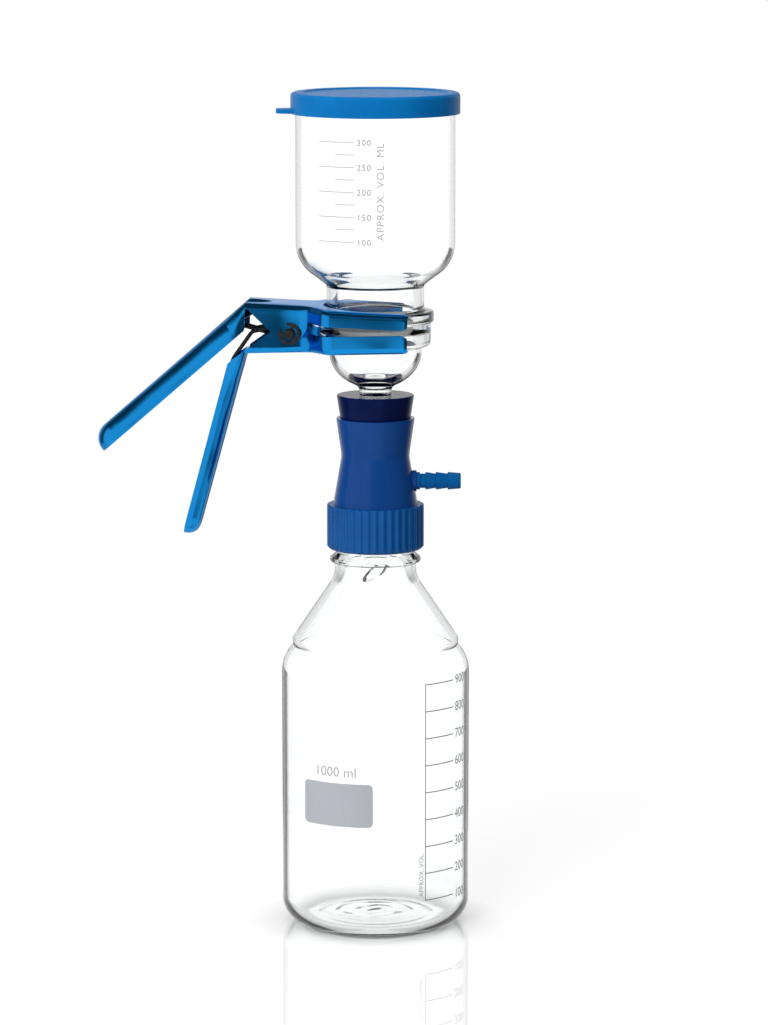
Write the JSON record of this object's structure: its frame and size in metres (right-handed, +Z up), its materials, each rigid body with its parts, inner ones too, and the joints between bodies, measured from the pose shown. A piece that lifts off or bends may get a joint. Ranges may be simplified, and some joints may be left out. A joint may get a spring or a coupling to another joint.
{
  "type": "vacuum filtration unit",
  "caption": "Glass vacuum filtration unit: lidded graduated funnel on a fritted base, held by a sprung sheet-metal clamp, with a stopper and side-hose adapter on a collecting bottle.",
  "frame": {"origin": "centre of the bottle's standing face, on the glass axis, on the table", "axes": "+X from the glass axis towards the hose nozzle, +Y away from the viewer, +Z up along the glass axis"},
  "size_m": [0.1999, 0.101, 0.4502],
  "materials": {
    "bottle_glass": "clear borosilicate",
    "base_glass": "clear borosilicate, ground flange",
    "funnel_glass": "clear borosilicate, ground flange",
    "frit_glass": "sintered, matte",
    "seal_rubber": "smooth silicone",
    "stopper_rubber": "smooth dark blue silicone",
    "adapter_plastic": "glossy moulded",
    "nozzle_plastic": "satin moulded",
    "lid_plastic": "satin moulded",
    "clamp_metal": "blue anodised sheet",
    "pin_steel": "blackened steel",
    "clip_steel": "blackened steel",
    "spring_steel": "blackened spring wire"
  },
  "bodies": {
    "bottle": {"bottle": "bottle_glass"},
    "gasket": {"rim_gasket": "seal_rubber"},
    "head": {"hose_adapter": "adapter_plastic", "hose_nozzle": "nozzle_plastic", "stopper": "stopper_rubber", "funnel_base": "base_glass", "fritted_disc": "frit_glass", "funnel": "funnel_glass", "clamp_lower_jaw": "clamp_metal", "pivot_pin": "pin_steel", "front_e_clip": "clip_steel", "rear_e_clip": "clip_steel", "torsion_spring": "spring_steel"},
    "lid": {"lid": "lid_plastic"},
    "upper_jaw": {"clamp_upper_jaw": "clamp_metal"}
  },
  "joints": [
    {"name": "gasket_lift", "type": "slide", "parent": "bottle", "child": "gasket", "axis": [0, 0, 1], "range_m": [0, 0.00601]},
    {"name": "adapter_turn", "type": "hinge", "parent": "gasket", "child": "head", "pos_m": [0, 0, 0.2], "axis": [0, 0, 1], "range_deg": [0, 540]},
    {"name": "lid_lift", "type": "slide", "parent": "head", "child": "lid", "axis": [0, 0, 1], "range_m": [0, 0.04]},
    {"name": "jaw_open", "type": "hinge", "parent": "head", "child": "upper_jaw", "pos_m": [-0.04449, 0.00311, 0.3228], "axis": [-0.0698, -0.9976, 0], "range_deg": [0, 11.5], "stiffness_Nm_per_rad": 0.8, "springref_deg": -22.92, "deforming": ["torsion_spring"]}
  ],
  "couplings": [
    {"joint": "gasket_lift", "follows": "adapter_turn", "m_per_rad": 0.00063662}
  ]
}
